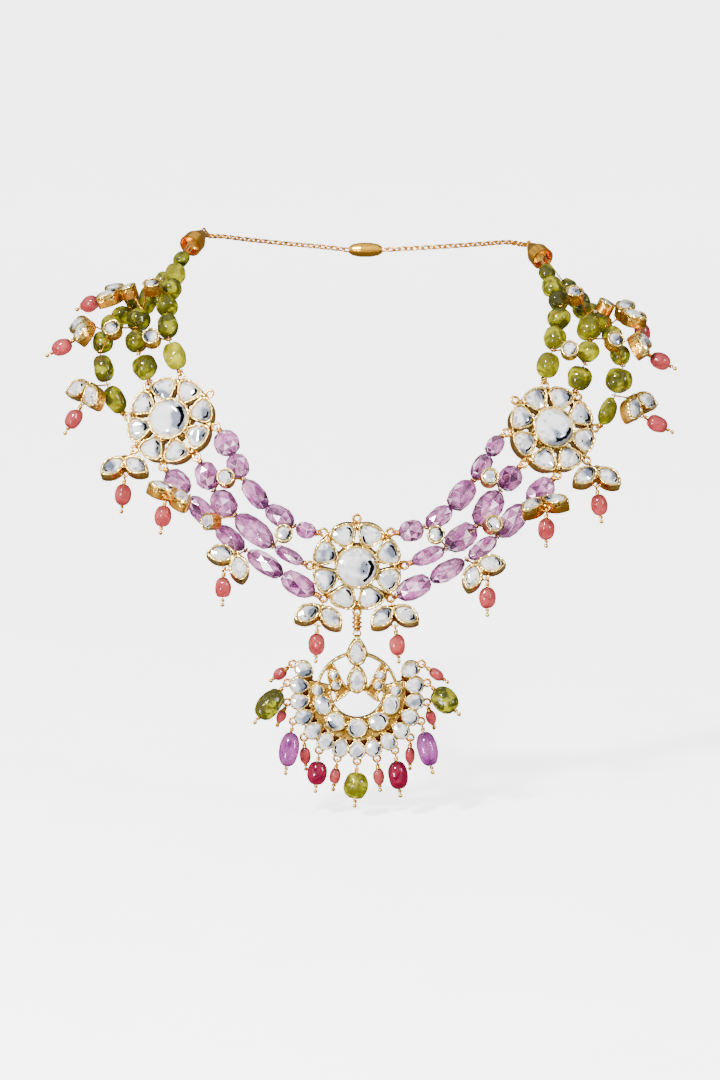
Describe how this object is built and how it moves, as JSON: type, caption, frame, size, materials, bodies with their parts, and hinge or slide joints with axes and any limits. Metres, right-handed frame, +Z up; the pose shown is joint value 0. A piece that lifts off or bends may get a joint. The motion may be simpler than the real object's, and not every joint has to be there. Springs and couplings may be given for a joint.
{
  "type": "necklace",
  "caption": "Short necklace of green and violet bead strings with round stone-set flower settings, leaf drops and a swinging crescent pendant hung with bead drops.",
  "frame": {"origin": "middle of the neck hollow at the height of the end caps, where a neck or a stand's neck passes through the collar", "axes": "+Z up out of the neck hollow, +X to the right of the necklace seen from the front, +Y to the back chain"},
  "size_m": [0.2161, 0.1461, 0.1881],
  "materials": {
    "gold": "hand-burnished gold over sheet metal",
    "cut_stone": "clear foil-backed stone",
    "green_stone": "polished tumbled stone",
    "violet_stone": "faceted and polished",
    "pink_stone": "polished",
    "ruby_stone": "polished",
    "thread": "twisted beading thread"
  },
  "bodies": {
    "collar": {"medallion_left": "gold", "medallion_centre": "gold", "medallion_right": "gold", "medallion_left_stones": "cut_stone", "medallion_centre_stones": "cut_stone", "medallion_right_stones": "cut_stone", "green_left_inner": "green_stone", "green_left_middle": "green_stone", "green_left_outer": "green_stone", "green_right_inner": "green_stone", "green_right_middle": "green_stone", "green_right_outer": "green_stone", "violet_left_inner": "violet_stone", "violet_left_middle": "violet_stone", "violet_left_outer": "violet_stone", "violet_right_inner": "violet_stone", "violet_right_middle": "violet_stone", "violet_right_outer": "violet_stone", "threads_green_left": "thread", "threads_green_right": "thread", "threads_violet_left": "thread", "threads_violet_right": "thread", "collets_left": "gold", "collets_right": "gold", "collet_stones_left": "cut_stone", "collet_stones_right": "cut_stone", "leaf_left_1": "gold", "leaf_left_2": "gold", "leaf_left_3": "gold", "leaf_left_4": "gold", "leaf_left_5": "gold", "leaf_left_6": "gold", "leaf_left_7": "gold", "leaf_right_1": "gold", "leaf_right_2": "gold", "leaf_right_3": "gold", "leaf_right_4": "gold", "leaf_right_5": "gold", "leaf_right_6": "gold", "leaf_right_7": "gold", "leaf_stones_left": "cut_stone", "leaf_stones_right": "cut_stone", "leaf_beads_left": "pink_stone", "leaf_beads_right": "pink_stone", "leaf_pins_left": "gold", "leaf_pins_right": "gold", "end_cap_left": "gold", "end_cap_right": "gold", "back_chain_left": "gold", "back_chain_right": "gold", "clasp": "gold"},
    "pendant": {"pendant_frame": "gold", "pendant_pears": "cut_stone", "pendant_bail": "gold", "pendant_pins": "gold", "pendant_pink_beads": "pink_stone", "pendant_ruby_beads": "ruby_stone", "pendant_violet_beads": "violet_stone", "pendant_green_beads": "green_stone"}
  },
  "joints": [
    {"name": "pendant_swing", "type": "hinge", "parent": "collar", "child": "pendant", "pos_m": [-0.003, -0.07275, -0.11115], "axis": [-1, 0, 0], "range_deg": [-20, 80]}
  ]
}
